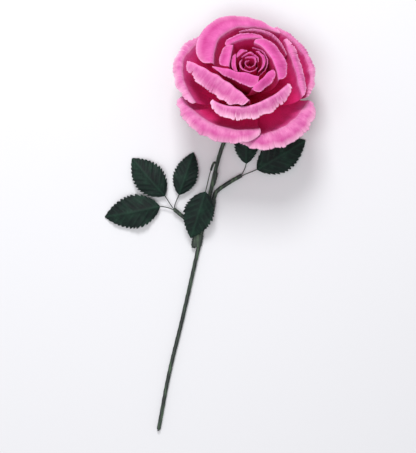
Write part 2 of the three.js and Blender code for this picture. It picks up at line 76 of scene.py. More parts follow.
# In the order in which they are laid. crest: azimuth, radius and height of the fold at the petal's left
# end, middle and right end. fold: degrees that the rim turns there. band: width of the folded rim there.
# bend: radius of the fold. lean: degrees that the top of the wall leans outwards.
Petal = namedtuple("Petal", "name crest fold band bend lean")
PETALS = [
    Petal("bud_petal_1", [(90, 2.6, 41), (200, 2.9, 41.5), (310, 3.3, 41)],
          fold=(20, 40, 30), band=(1, 1.4, 1), bend=0.8, lean=0),
    Petal("bud_petal_2", [(-60, 4.2, 42), (40, 4.7, 43), (130, 5.1, 42)],
          fold=(20, 60, 40), band=(1, 1.8, 1), bend=0.8, lean=0),
    Petal("bud_petal_3", [(150, 6.2, 42), (235, 7.4, 42.5), (330, 7.2, 41.5)],
          fold=(40, 70, 30), band=(1, 2, 1), bend=0.8, lean=0),
    Petal("bud_petal_4", [(5, 7.2, 42.5), (75, 7.2, 44), (140, 7.8, 42)],
          fold=(50, 70, 40), band=(1, 1.6, 1), bend=0.8, lean=2),
    Petal("bud_petal_5", [(-48, 10.2, 42), (8, 10.8, 43.5), (62, 11.2, 43)],
          fold=(60, 105, 60), band=(1.2, 2.6, 1.2), bend=0.9, lean=2),
    Petal("bud_petal_6", [(98, 10.8, 43.5), (125, 9.4, 45), (154, 11, 43)],
          fold=(80, 110, 80), band=(1.5, 3.6, 2), bend=0.9, lean=2),
    Petal("bud_petal_7", [(143, 13, 43), (180, 11, 44.5), (222, 12.6, 43)],
          fold=(80, 115, 70), band=(1.5, 4, 3), bend=0.9, lean=3),
    Petal("bud_petal_8", [(-55, 13.2, 41), (10, 14.2, 43), (80, 13.8, 42.5)],
          fold=(15, 30, 20), band=(0.9, 1.2, 0.9), bend=0.9, lean=3),
    Petal("inner_petal_1", [(129, 19.7, 44), (166, 15.6, 46), (197, 16.6, 45)],
          fold=(75, 112, 90), band=(5, 10.5, 7), bend=1.3, lean=8),
    Petal("inner_petal_2", [(185, 29.5, 42), (229, 13.8, 46.5), (297, 16.6, 46.5)],
          fold=(110, 120, 105), band=(3, 9, 12), bend=1.3, lean=8),
    Petal("inner_petal_3", [(274, 24.5, 43), (303, 18.6, 46), (337, 19.8, 45)],
          fold=(105, 115, 60), band=(7, 9, 6), bend=1.3, lean=8),
    Petal("inner_petal_4", [(325, 28, 43), (374, 17, 46.5), (437, 17.6, 45.5)],
          fold=(105, 110, 80), band=(9, 12, 6), bend=1.4, lean=8),
    Petal("inner_petal_5", [(62, 23.5, 44), (103, 20.4, 46.5), (142, 22.8, 44)],
          fold=(100, 110, 100), band=(4, 6.5, 6), bend=1.3, lean=8),
    Petal("middle_petal_1", [(22, 32.6, 34), (62, 33, 38.5), (104, 32, 38.5)],
          fold=(20, 40, 30), band=(1.2, 2, 1.4), bend=1, lean=14),
    Petal("middle_petal_2", [(53, 42.6, 32), (115, 36.2, 38.5), (176, 28.5, 37.5)],
          fold=(95, 85, 95), band=(2.8, 15, 18), bend=3, lean=16),
    Petal("middle_petal_3", [(171, 49.5, 33), (209, 24.8, 39), (270, 31.5, 38)],
          fold=(105, 118, 100), band=(9, 16, 11), bend=1.5, lean=12),
    Petal("middle_petal_4", [(223, 39.5, 30), (270, 33.5, 33.5), (334, 34.5, 36)],
          fold=(110, 118, 105), band=(10, 12.5, 11), bend=1.7, lean=15),
    Petal("middle_petal_5", [(331, 48, 29), (363, 35.5, 36), (402.5, 38.3, 35.3)],
          fold=(100, 115, 80), band=(6, 8, 5.5), bend=2, lean=15),
    Petal("outer_petal_1", [(338, 49, 20), (375, 48, 27), (424, 48, 25)],
          fold=(80, 105, 90), band=(4, 5.5, 4.5), bend=2, lean=30),
    Petal("outer_petal_2", [(130, 46, 24), (168, 54, 25), (208, 48.5, 19)],
          fold=(95, 108, 90), band=(8, 9.5, 8), bend=3.5, lean=30),
    Petal("outer_petal_3", [(194, 55, 12), (236, 49.5, 16.5), (281, 45, 15)],
          fold=(105, 112, 100), band=(10, 16, 12), bend=8.5, lean=34),
    Petal("outer_petal_4", [(258, 46, 9), (300, 49.5, 12.5), (340, 51, 14)],
          fold=(95, 105, 95), band=(12, 18, 12), bend=10.5, lean=40),
    Petal("outer_petal_5", [(50, 44, 17), (96, 48, 15), (146, 44, 16)],
          fold=(90, 100, 90), band=(6, 9, 6), bend=4.5, lean=40),
]
FOOT_TOP_R, FOOT_TOP_Z = 3.4, 15  # where the first petal is glued
FOOT_STEP_R, FOOT_STEP_Z = 0.25, -0.66  # from each petal to the next
FOOT_SPAN = 58  # degrees round the core that a foot covers to each side
FIRST_WALL_RISES = 55  # degrees above level at which the first petal's wall leaves the core
LAST_WALL_RISES = -12
WALL_PULL = 0.35  # how far the wall's curve follows each of its two end directions
LEAST_BAND = 0.8  # width of the folded rim at its narrowest
CORNER_BAND = 0.25  # share of the rim's width that is left at its two corners
CORNER_POWER = 5  # higher is a squarer corner


# ---- Small helpers ------------------------------------------------------------------------------------
Ripple = namedtuple("Ripple", "height length")  # how high an uneven ripple is, and how long its waves are


def polar(azimuth, r, z):
    a = np.radians(azimuth)
    return np.stack(np.broadcast_arrays(r * np.cos(a), r * np.sin(a), z), axis=-1).astype(float)


def unit(v):
    return v / np.linalg.norm(v, axis=-1, keepdims=True)


def through(three, s):
    """A smooth curve's value at s, through three values at s = -1, 0 and 1."""
    left, middle, right = three
    return left * s * (s - 1) / 2 + middle * (1 - s * s) + right * s * (s + 1) / 2


def waves(x, length, seed, count=5):
    """An uneven ripple between about -1 and 1, with waves of about that length."""
    rng = np.random.default_rng(seed)
    total = np.zeros_like(np.asarray(x, dtype=float))
    for _ in range(count):
        own = length * rng.uniform(0.65, 1.6)
        total += rng.uniform(0.5, 1) * np.sin(TAU * (x / own + rng.uniform()))
    return total / (0.55 * count)


def rippled(ripple, x, seed):
    """The height of that ripple at x."""
    return ripple.height * waves(x, ripple.length, seed)


def smooth(low, high, x):
    """A soft step from 0 at low to 1 at high."""
    t = np.clip((x - low) / (high - low), 0, 1)
    return t * t * (3 - 2 * t)


def fading(reach, x):
    """1 where x is 0, and less the further x is from it."""
    return np.exp(-((x / reach) ** 2))


def walked_along(points):
    """How far each point lies from the first one, along the line through them."""
    return np.concatenate([[0], np.cumsum(np.linalg.norm(np.diff(points, axis=0), axis=1))])


def srgb(r, g, b):
    """A linear colour from 0 to 255 screen values."""
    return tuple(((c / 255 + 0.055) / 1.055) ** 2.4 if c > 10 else c / 3294.6 for c in (r, g, b)) + (1,)


def lay_on_table(points):
    """Points in the flower's own frame to metres in the row's frame."""
    return (points - MIDDLE) * MM


def lift_bloom(points):
    """Points in the bloom's frame to the flower's own frame."""
    c, s = math.cos(BLOOM_TILT), math.sin(BLOOM_TILT)
    x, y, z = np.moveaxis(points, -1, 0)
    return np.stack([x, c * y + s * z, c * z - s * y], axis=-1) + foot


def finish_piece(obj, slot, material, *nodes):
    obj.data.materials.append(material)
    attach(obj, "root")
    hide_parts(*nodes)


def make_object(name, verts, faces, attributes=None):
    mesh = bpy.data.meshes.new(name)
    mesh.from_pydata(verts.tolist(), [], faces)
    for key, values in (attributes or {}).items():
        values = np.asarray(values, dtype=np.float32)
        kind = "FLOAT_VECTOR" if values.ndim == 2 else "FLOAT"
        layer = mesh.attributes.new(key, kind, "POINT")
        layer.data.foreach_set("vector" if values.ndim == 2 else "value", values.ravel())
    mesh.polygons.foreach_set("use_smooth", [True] * len(mesh.polygons))
    mesh.update()
    obj = bpy.data.objects.new(name, mesh)
    bpy.context.scene.collection.objects.link(obj)
    return obj


def grid_normals(points):
    along = np.gradient(points, axis=0)
    across = np.gradient(points, axis=1)
    return unit(np.cross(across, along))


def sheet_faces(rows, columns):
    """Faces of a closed sheet whose front grid comes first and its back grid second."""
    n = rows * columns
    front = np.arange(n).reshape(rows, columns)
    a, b, c, d = front[:-1, :-1], front[:-1, 1:], front[1:, 1:], front[1:, :-1]
    faces = np.stack([a, b, c, d], -1).reshape(-1, 4).tolist()
    faces += (np.stack([a, d, c, b], -1) + n).reshape(-1, 4).tolist()
    rim = [*front[0, ::-1], *front[1:, 0], *front[-1, 1:], *front[-2:0:-1, -1]]
    for here, there in zip(rim, rim[1:] + rim[:1]):
        faces.append([int(here), int(there), int(there) + n, int(here) + n])
    return faces


def sheet(name, points, thickness, attributes):
    """A closed sheet of that thickness around a grid of points in the flower's own frame."""
    rows, columns = points.shape[:2]
    offset = grid_normals(points) * thickness / 2
    both = np.concatenate([(points + offset).reshape(-1, 3), (points - offset).reshape(-1, 3)])
    doubled = {}
    for key, values in attributes.items():
        one_side = values.reshape(rows * columns, *values.shape[2:])
        doubled[key] = np.concatenate([one_side, one_side])
    return make_object(name, lay_on_table(both), sheet_faces(rows, columns), doubled)


# ---- The stem's path ----------------------------------------------------------------------------------
down = np.array([0, -math.sin(BLOOM_TILT), -math.cos(BLOOM_TILT)])
heading = np.array([-math.sin(STEM_SLANT), -math.cos(STEM_SLANT), 0])


def stem_points():
    """The foot of the bloom, and the points of the stem from there to its cut end."""
    bend = math.acos(down @ heading)
    inwards = unit(heading - down * (heading @ down))
    neck = []
    for i in range(NECK_STEPS + 1):
        turned = bend * i / NECK_STEPS
        neck.append(down * (HIP + NECK_R * math.sin(turned)) + inwards * NECK_R * (1 - math.cos(turned)))
    lift = np.array([0, 0, STEM_REST - neck[-1][2]])
    return lift, np.array([lift, *[p + lift for p in neck], *STEM_RUN])


foot, stem = stem_points()


# ---- Petals -------------------------------------------------------------------------------------------
PETAL_THICKNESS = 0.34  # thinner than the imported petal, which leaves some room for the crinkles
PALENESS = {"bud": 0, "inner": 0.1, "middle": 0.3, "outer": 1}  # how washed out each ring's dye is; it also sets how much painted highlight and painted shade its bands get
PALER_PETALS = {"middle_petal_3": 0.9, "middle_petal_4": 1.1, "middle_petal_5": 0.5, "outer_petal_1": 0.5}
RAGGEDNESS = {"bud": 0.6, "inner": 0.45, "middle": 0.9, "outer": 1}  # how torn each ring's edges are
OTHER_RAGGEDNESS = {"middle_petal_2": 0.35, "middle_petal_3": 1.5, "middle_petal_4": 1.6}
FULLY_TORN = 9  # a folded rim this wide is torn as much as that, and a narrower one less
LEAST_TORN = 0.12  # share of that which the narrowest rims have
LEAST_TORN_BAND = 0.6  # width of the folded rim that the tears leave at least

# The paper's unevenness, the bud's where it differs. The one in the fold is a share of its turn.
CREST_WANDERS, BUD_CREST_WANDERS = Ripple(0.5, 17), Ripple(0.9, 7)
FOLD_WANDERS = Ripple(0.06, 20)
EDGE_WANDERS = Ripple(0.9, 10)
EDGE_RAVELS = Ripple(0.2, 0.9)
NOTCHES = Ripple(2.0, 2.7)
FRILL, FRILL_REACH = Ripple(0.45, 3.1), 2.2
GATHERS, BUD_GATHERS, GATHER_REACH = Ripple(0.5, 1.9), Ripple(0.1, 1.9), 6.5
GATHERED_STRETCH = 22  # the gathers come and go along the edge in waves of this length
SWELL, BUD_SWELL, SWELL_SLANT = Ripple(0.6, 15), Ripple(0.15, 15), 0.12
RIBS = Ripple(0.05, 1.3)
SWELL_GROWS, RIBS_GROW = (0.35, 1.1), (0.1, 0.6)  # where on the way from foot (0) to crest (1)

BUD_TONE = 0.94  # the bud's dye, and the painted highlight on its folds, reach a little further, past its crests
BUD_RIM_KEPT = 0.6  # the worn line along the bud's rims is this much narrower
FAR_FROM_RIM = 99.0
PETAL_GRID, BUD_GRID = (26, 24, 170), (30, 8, 90)  # rows up the wall and over the rim, and columns


def for_petal(petal, by_ring, special):
    """The value that a petal takes from its ring, unless it has one of its own."""
    return special.get(petal.name, by_ring[petal.name.split("_")[0]])


def in_bud(petal):
    return petal.name.startswith("bud")


def crest_line(petal, s):
    """Points of the fold: round the axis in the bud, and a parabola through its three points elsewhere."""
    if in_bud(petal):
        return polar(*[through([c[k] for c in petal.crest], s) for k in range(3)])
    ends = [polar(*c) for c in petal.crest]
    return np.stack([through([p[k] for p in ends], s) for k in range(3)], axis=-1)


def petal_wall(order, crest, rise, s, rows):
    """Rows of points from the petal's foot on the core up to its crest, without the crest itself."""
    middle = crest_line(PETALS[order], np.zeros(1))[0]
    facing = math.degrees(math.atan2(middle[1], middle[0]))
    foot_r = FOOT_TOP_R + order * FOOT_STEP_R
    foot_line = polar(facing + s * FOOT_SPAN, foot_r, FOOT_TOP_Z + order * FOOT_STEP_Z)
    reach = np.linalg.norm(crest - foot_line, axis=1)[:, None]
    laid = order / (len(PETALS) - 1)
    leave = math.radians(FIRST_WALL_RISES + (LAST_WALL_RISES - FIRST_WALL_RISES) * laid)
    start = unit(foot_line * [1, 1, 0]) * math.cos(leave) + UP * math.sin(leave)
    p1 = foot_line + start * reach * WALL_PULL
    p2 = crest - rise * reach * WALL_PULL
    t = np.linspace(0, 1, rows, endpoint=False)[:, None, None]
    wall = foot_line * (1 - t) ** 3 + 3 * p1 * t * (1 - t) ** 2 + 3 * p2 * t * t * (1 - t) + crest * t**3
    return wall, t[:, :, 0]


def torn_width(petal, s, across, seed):
    """Width of the folded rim along the crest, with its rounded corners and its torn edge."""
    corner = np.sqrt(np.clip(1 - np.abs(s) ** CORNER_POWER, 0, 1))
    width = np.maximum(through(petal.band, s) * (CORNER_BAND + (1 - CORNER_BAND) * corner), LEAST_BAND)
    torn = rippled(EDGE_WANDERS, across, seed + 3) + rippled(EDGE_RAVELS, across, seed + 4)
    torn -= NOTCHES.height * np.clip(waves(across, NOTCHES.length, seed + 5), 0, 1) ** 4
    ragged = for_petal(petal, RAGGEDNESS, OTHER_RAGGEDNESS) * np.clip(width / FULLY_TORN, LEAST_TORN, 1)
    return np.maximum(width + torn * ragged, LEAST_TORN_BAND)


def petal_surface(order, wall_rows, band_rows, columns):
    """The petal's middle surface as a grid of points, and three measures of each: how far across the petal
    it lies, its share of the way (0 at the foot, 1 at the crest, up to 2 at the rim), and how far it is
    from the rim."""
    petal = PETALS[order]
    seed = order * 7
    lean = math.radians(petal.lean)
    s = np.linspace(-1, 1, columns)
    step = 0.01
    crest = crest_line(petal, s)
    along = crest_line(petal, s + step) - crest_line(petal, s - step)
    out = unit(np.stack([along[:, 1], -along[:, 0], np.zeros(columns)], axis=-1))
    rise = UP * math.cos(lean) + out * math.sin(lean)
    across = walked_along(crest)
    across -= across[-1] / 2
    wanders = rippled(BUD_CREST_WANDERS if in_bud(petal) else CREST_WANDERS, across, seed + 1)
    crest = crest + rise * wanders[:, None]
    wall, wall_share = petal_wall(order, crest, rise, s, wall_rows)

    turn = np.radians(through(petal.fold, s)) * (1 + rippled(FOLD_WANDERS, across, seed + 2))
    width = torn_width(petal, s, across, seed)
    arc = np.minimum(petal.bend * turn, width)
    bend = arc / turn
    walked = np.linspace(0, 1, band_rows + 1)[:, None] * width
    angle = np.minimum(walked / bend, turn)
    tail = np.maximum(walked - arc, 0)
    sideways = bend * (math.cos(lean) - np.cos(lean + angle)) + tail * np.sin(lean + angle)
    upwards = bend * (np.sin(lean + angle) - math.sin(lean)) + tail * np.cos(lean + angle)
    rim = crest + out * sideways[..., None] + UP * upwards[..., None]

    points = np.concatenate([wall, rim])
    share = np.concatenate([np.repeat(wall_share, columns, axis=1), 1 + walked / width.max()])
    from_rim = np.concatenate([np.full((wall_rows, columns), FAR_FROM_RIM), width - walked])
    return points, np.broadcast_to(across, share.shape), share, from_rim


def make_petal(order, material):
    petal = PETALS[order]
    seed = order * 11
    bud = in_bud(petal)
    points, across, share, from_rim = petal_surface(order, *(BUD_GRID if bud else PETAL_GRID))
    steps = np.linalg.norm(np.diff(points, axis=0), axis=2)
    length = np.concatenate([np.zeros_like(steps[:1]), np.cumsum(steps, 0)])

    ragged = for_petal(petal, RAGGEDNESS, OTHER_RAGGEDNESS)
    gathered = smooth(-1, 0.6, waves(across, GATHERED_STRETCH, seed + 4)) * fading(GATHER_REACH, from_rim)
    swell = rippled(BUD_SWELL if bud else SWELL, across + length * SWELL_SLANT, seed + 2)
    shift = (
        ragged * fading(FRILL_REACH, from_rim) * rippled(FRILL, across, seed + 1)
        + ragged * gathered * rippled(BUD_GATHERS if bud else GATHERS, across, seed + 5)
        + smooth(*SWELL_GROWS, share) * swell
        + smooth(*RIBS_GROW, share) * rippled(RIBS, across, seed + 3)
    )
    points = points + grid_normals(points) * shift[..., None]
    layers = {
        "tone": share * (BUD_TONE if bud else 1),
        "paper": np.stack([across, length, np.full_like(length, order * 40.0)], axis=-1),
        "rim": from_rim + (BUD_RIM_KEPT if bud else 0),
        "pale": np.full_like(length, for_petal(petal, PALENESS, PALER_PETALS)),
    }
    sheet_obj = sheet(petal.name + "_crepe", lift_bloom(points), PETAL_THICKNESS, layers)
    finish_piece(sheet_obj, "petal_paper", material, petal.name)


# ---- Tubes: wires, stalks and tape --------------------------------------------------------------------
# Wound tape: the step from turn to turn, how far each turn stands over the last, and how far the tape's
# lowest place lies inside its radius.
Winding = namedtuple("Winding", "pitch lap sunk")
STEM_WINDING = Winding(pitch=7.5, lap=0.24, sunk=0.08)
STALK_WINDING = Winding(pitch=6, lap=0.12, sunk=0.06)
TAPE_WRINKLES = Ripple(0.25, 1.3)  # as a share of the lap
WIRE_IN_CORE = 12


def spline(points, per_step):
    """A smooth path through the points, a centripetal Catmull-Rom curve, with that many steps from one
    point to the next."""
    points = np.asarray(points, dtype=float)
    padded = np.concatenate([[2 * points[0] - points[1]], points, [2 * points[-1] - points[-2]]])
    path = []
    for a, b, c, d in zip(padded, padded[1:], padded[2:], padded[3:]):
        before, here, after = (max(math.sqrt(np.linalg.norm(v)), 1e-4) for v in (b - a, c - b, d - c))
        leave = ((b - a) / before - (c - a) / (before + here) + (c - b) / here) * here
        arrive = ((c - b) / here - (d - b) / (here + after) + (d - c) / after) * here
        for t in np.arange(per_step) / per_step:
            path.append(
                b * (2 * t**3 - 3 * t**2 + 1)
                + leave * (t**3 - 2 * t**2 + t)
                + c * (3 * t**2 - 2 * t**3)
                + arrive * (t**3 - t**2)
            )
    return np.array(path + [points[-1]])


def path_frames(path):
    """Two directions square to the path at each of its points, carried along without twisting."""
    along = unit(np.gradient(path, axis=0))
    side = unit(np.cross(along[0], [0.3, 0.2, 1]))
    sides = []
    for direction in along:
        side = unit(side - direction * (side @ direction))
        sides.append(side)
    sides = np.array(sides)
    return sides, np.cross(along, sides)


def wound(path, around, winding):
    """How far wound tape stands proud of its radius, with a step at the edge of each turn."""
    walked = walked_along(path)[:, None]
    turns = (walked / winding.pitch + around[None, :] / TAU) % 1
    wrinkle = rippled(TAPE_WRINKLES, walked * 1.1 + around[None, :] * 0.9, 5)
    return winding.lap * (smooth(0, 0.12, turns) * (1 - turns) + wrinkle) - winding.sunk


def skin_faces(rows, sides):
    """Each point's number in a stack of rings, its neighbour's number, and the faces between the rings."""
    index = np.arange(rows * sides).reshape(rows, sides)
    beside = np.roll(index, -1, axis=1)
    return index, beside, np.stack([index[:-1], beside[:-1], beside[1:], index[1:]], -1).reshape(-1, 4)


def sleeve(outer, inner):
    """Points and faces of a closed sleeve between two skins, each a stack of rings."""
    index, beside, skin = skin_faces(*outer.shape[:2])
    lining = index.size
    first = np.stack([index[0], index[0] + lining, beside[0] + lining, beside[0]], -1)
    last = np.stack([index[-1], beside[-1], beside[-1] + lining, index[-1] + lining], -1)
    faces = np.concatenate([skin, skin[:, ::-1] + lining, first, last])
    return np.concatenate([outer.reshape(-1, 3), inner.reshape(-1, 3)]), faces.tolist()


def rod(outer):
    """Points and faces of a closed solid with that skin, a stack of rings."""
    index, _, skin = skin_faces(*outer.shape[:2])
    return outer.reshape(-1, 3), skin.tolist() + [index[0, ::-1].tolist(), index[-1].tolist()]


def tube(name, path, radius, sides, inner=0.0, winding=None):
    """A tube along the path: a solid rod, or a sleeve if it has an inner radius."""
    side, over = path_frames(path)
    around = np.linspace(0, TAU, sides, endpoint=False)
    ring = side[:, None] * np.cos(around)[None, :, None] + over[:, None] * np.sin(around)[None, :, None]
    proud = wound(path, around, winding) if winding else np.zeros((len(path), sides))
    skin = path[:, None] + ring * (radius + proud)[..., None]
    verts, faces = sleeve(skin, path[:, None] + ring * inner) if inner else rod(skin)
    return make_object(name, lay_on_table(verts), faces)


def make_stem(wire_material, tape_material):
    top = foot - down * WIRE_IN_CORE
    wire = tube("stem_wire_drawn", spline([top, *stem], per_step=8), STEM_WIRE_R, sides=16)
    finish_piece(wire, "steel_wire", wire_material, "stem_wire")
    end = stem[-1] + unit(stem[-2] - stem[-1]) * WIRE_END
    taped = spline([foot + down * 2 * GAP, *stem[1:-1], end], per_step=30)
    tape_obj = tube("stem_tape_wound", taped, STEM_TAPE_R, 24, STEM_TAPE_R - TAPE, STEM_WINDING)
    finish_piece(tape_obj, "floral_tape", tape_material, "stem_tape")


# ---- Bloom core and calyx -----------------------------------------------------------------------------
CORE_TOP = 37
CORE_TIP_R = 1.6
CORE_TIP_MIDDLE = 30
CORE_SHOULDER = 8  # height in which the core narrows to its tip, above the first foot
CORE_RIM = 0.8  # height of the core's upright edge at its base
CORE_CLEAR = 0.85  # from the middle of a petal's foot to the core
CORE_SIDES = 36
CUP_TOP, CUP_R, CUP_LOW, CUP_NECK = -1.2, 7.6, -8, 3.2
CUP_SIDES = 60
WRINKLES = Ripple(0.12, 3.1)

# Five points of the calyx: azimuth, then radius and height at half length and at the tip.
Sepal = namedtuple("Sepal", "azimuth half tip")
SEPALS = [
    Sepal(54, (16, -3.6), (25, -2.2)),
    Sepal(126, (16, -3.6), (25, -2.2)),
    Sepal(198, (15, -6), (23, -13)),
    Sepal(270, (14, -7), (19, -16)),
    Sepal(342, (15, -6), (23, -13)),
]
SEPAL_WIDTH = 4
SEPAL_TAPER = 0.85  # share of its width that a point has lost at its tip
SEPAL_THICKNESS = 0.4
SEPAL_STEPS = 18
SEPAL_ACROSS = 13
SEPAL_CURL = 0.5  # how far its two edges hang below its middle
SEPAL_EDGE, SEPAL_CRINKLE, SEPAL_WAVE = Ripple(0.05, 2.4), Ripple(0.15, 1.2), Ripple(0.4, 8)


def turned(name, profile, sides, seed, layers=None):
    """A closed body of revolution in the bloom's frame. Its profile is (radius, height), lowest first."""
    profile = np.array(profile, dtype=float)
    around = np.linspace(0, TAU, sides, endpoint=False)
    ripple = rippled(WRINKLES, around[None, :] * 9 + profile[:, 1:] * 0.3, seed)
    r = profile[:, :1] + ripple * (profile[:, :1] > 0.5)
    z = np.broadcast_to(profile[:, 1:], r.shape)
    verts, faces = rod(np.stack([r * np.cos(around), r * np.sin(around), z], axis=-1))
    paper = np.stack([around * 4 + r * 0, z * 1.0, np.full_like(r, seed)], axis=-1).reshape(-1, 3)
    flat = {key: np.full(len(verts), value) for key, value in (layers or {}).items()}
    return make_object(name, lay_on_table(lift_bloom(verts)), faces, {"paper": paper, **flat})


def make_core(material):
    """A cone along the petals' feet, its shoulder, and the thin tip inside the bud."""
    slope = FOOT_STEP_R / -FOOT_STEP_Z
    high = FOOT_TOP_R - CORE_CLEAR
    low = high + (FOOT_TOP_Z - CORE_RIM) * slope
    profile = [(low - 0.6, 0), (low, CORE_RIM)]
    for t in np.linspace(0.1, 1, 10):
        profile.append((low + (high - low) * t, CORE_RIM + (FOOT_TOP_Z - CORE_RIM) * t))
    for t in np.linspace(0.2, 1, 5):
        profile.append((high + (CORE_TIP_R - high) * t, FOOT_TOP_Z + CORE_SHOULDER * t))
    profile += [(CORE_TIP_R, CORE_TIP_MIDDLE), (CORE_TIP_R, CORE_TOP - 2)]
    profile += [(CORE_TIP_R * 0.7, CORE_TOP - 0.6), (0.3, CORE_TOP)]
    layers = {"tone": BUD_TONE, "rim": FAR_FROM_RIM, "pale": 0.0}
    core = turned("bloom_core_wound", profile, CORE_SIDES, 3, layers)
    finish_piece(core, "petal_paper", material, "bloom_core")


def make_cup(material):
    profile = [
        (CUP_NECK - 0.5, CUP_LOW),
        (CUP_NECK, CUP_LOW + 0.3),
        (CUP_NECK + 0.9, CUP_LOW + 1.3),
        (CUP_NECK + 2.2, CUP_LOW + 2.3),
        (CUP_R - 0.9, CUP_TOP - 3.2),
        (CUP_R, CUP_TOP - 2),
        (CUP_R + 0.3, CUP_TOP - 0.6),
        (CUP_R + 1.3, CUP_TOP + 0.5),
        (CUP_R + 0.9, CUP_TOP + 0.8),
        (CUP_R - 0.4, CUP_TOP + 0.5),
    ]
    cup = turned("calyx_cup", profile, CUP_SIDES, 4)
    finish_piece(cup, "sepal_paper", material, "calyx")


def make_sepal(k, material):
    azimuth, half, tip = SEPALS[k]
    line = spline([polar(azimuth, *p) for p in ((CUP_R - 0.5, CUP_TOP - 2.2), half, tip)], SEPAL_STEPS)
    s = np.linspace(0, 1, len(line))[:, None]
    across = np.linspace(-1, 1, SEPAL_ACROSS)[None, :]
    half_width = SEPAL_WIDTH / 2 * (0.75 + 0.5 * np.sin(math.pi * s**0.7)) * (1 - SEPAL_TAPER * s**3)
    reach = across * half_width * (1 + rippled(SEPAL_EDGE, s * 25, k))
    points = line[:, None] + polar(azimuth + 90, 1, 0) * reach[..., None]
    points[..., 2] -= SEPAL_CURL * across**2 + rippled(SEPAL_CRINKLE, reach + s * 3, k + 7)
    points[..., 2] -= s * rippled(SEPAL_WAVE, s * 25, k)
    paper = np.stack([reach, s * 20 + reach * 0, reach * 0 + k * 9], axis=-1)
    layers = {"paper": paper[:, ::-1]}
    sepal = sheet(f"sepal_{k + 1}_crepe", lift_bloom(points)[:, ::-1], SEPAL_THICKNESS, layers)
    finish_piece(sepal, "sepal_paper", material, "calyx")


# ---- Leaves -------------------------------------------------------------------------------------------
# Each spray is bound to one side of the stem, where that crosses the Y given as bound. Its stalk runs from
# there through these points to the fork. rise: how far a leaf's midrib arches between its base and its tip.
Spray = namedtuple("Spray", "bound side stalk leaves")
Leaf = namedtuple("Leaf", "base tip width rise")
SPRAYS = {
    "left": Spray(
        bound=-126,
        side=(-1, 0, 0),
        stalk=[(-44.6, -114, 2.4), (-52, -107, 3), (-61, -99.5, 3.6)],
        leaves=[
            Leaf(base=(-73, -97, 4), tip=(-119, -106, 0.8), width=29, rise=5),
            Leaf(base=(-69, -88, 4.2), tip=(-96, -57, 1.2), width=27, rise=5),
            Leaf(base=(-57, -87, 4.4), tip=(-45, -52, 1.2), width=21, rise=4.5),
        ],
    ),
    "right": Spray(
        bound=-96,
        side=(1, 0, 0),
        stalk=[(-26, -85, 2.4), (-16, -77.5, 3), (-5, -71, 3.6)],
        leaves=[
            Leaf(base=(-1, -61, 4.4), tip=(-1, -24, 1.2), width=21, rise=4),
            Leaf(base=(8, -66, 4), tip=(48, -42, 1.2), width=29, rise=5),
        ],
    ),
    "front": Spray(
        bound=-74,
        side=(0, 0, 1),
        stalk=[(-26.5, -66.5, 6.2), (-26, -61, 9.5), (-28, -60, 14), (-30.5, -66, 16.5)],
        leaves=[Leaf(base=(-35, -84, 14.5), tip=(-47, -123, 6.5), width=26, rise=2)],
    ),
}
LEAF_PAPER = 0.4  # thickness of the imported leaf, which its wire lies under
LEAF_THICKNESS = 0.3
LEAF_ROWS = 127
LEAF_HALF_COLUMNS = 14
LEAF_TEETH = 7
LEAF_DROOP = math.radians(12)  # how far each half falls away from the midrib
NARROWEST = 0.06  # least half width of a leaf, as a share of its widest
TOOTH = 0.12  # depth of the edge's notches, as a share of the leaf's half width
TOOTH_DEPTH_WANDERS, TOOTH_PLACE_WANDERS = Ripple(0.6, 0.21), Ripple(0.25, 0.3)
LEAF_SWEEP = 0.12  # how much further towards the tip the leaf's edge lies, for its distance from the rib
LEAF_VEINS = 7.5
VEIN_SWEEP = 0.75  # how far a vein runs towards the tip, for its distance from the rib
VEIN_WIDTH = 0.09  # as a share of the step from vein to vein
RIB_WIDTH = 0.9
RIB_HEIGHT, VEIN_DEPTH, PILLOW_HEIGHT = 0.3, 0.38, 0.28
LEAF_SWELL, LEAF_CRINKLE = Ripple(1.5, 22), Ripple(0.12, 3.1)
LEAF_CLEAR = 0.45  # height above the table below which a leaf is flattened
WIRE_ALONG_LEAF = 0.6  # share of the midrib that the wire runs under
BINDING_LENGTH = 12
BINDING_RINGS, BINDING_SIDES = 64, 56
BINDING_PITCH = 2.6
BINDING_LAP, BINDING_WRINKLES = 0.07, Ripple(0.012, 1.7)
BINDING_PINCH = 0.13  # how much thinner a binding is at its ends
BINDING_THICKNESS = 0.2
# Where each of the wires runs inside the tape of the stalk.
WIRE_PLACES = {1: [(0, 0)], 2: [(-0.55, 0), (0.55, 0)], 3: [(-0.58, -0.33), (0, 0.67), (0.58, -0.33)]}


def on_stem(y):
    """The point on the stem where it crosses y, and the way the stem runs there towards the bloom."""
    i = next(k for k, p in enumerate(stem) if p[1] < y)
    before, after = stem[i - 1], stem[i]
    share = (y - after[1]) / (before[1] - after[1])
    return after + (before - after) * share, unit(before - after)


def midrib(leaf, s):
    base, tip = np.array(leaf.base, float), np.array(leaf.tip, float)
    control = (base + tip) / 2 + UP * 2 * leaf.rise
    s = np.asarray(s, dtype=float)[..., None]
    return base * (1 - s) ** 2 + control * 2 * s * (1 - s) + tip * s * s


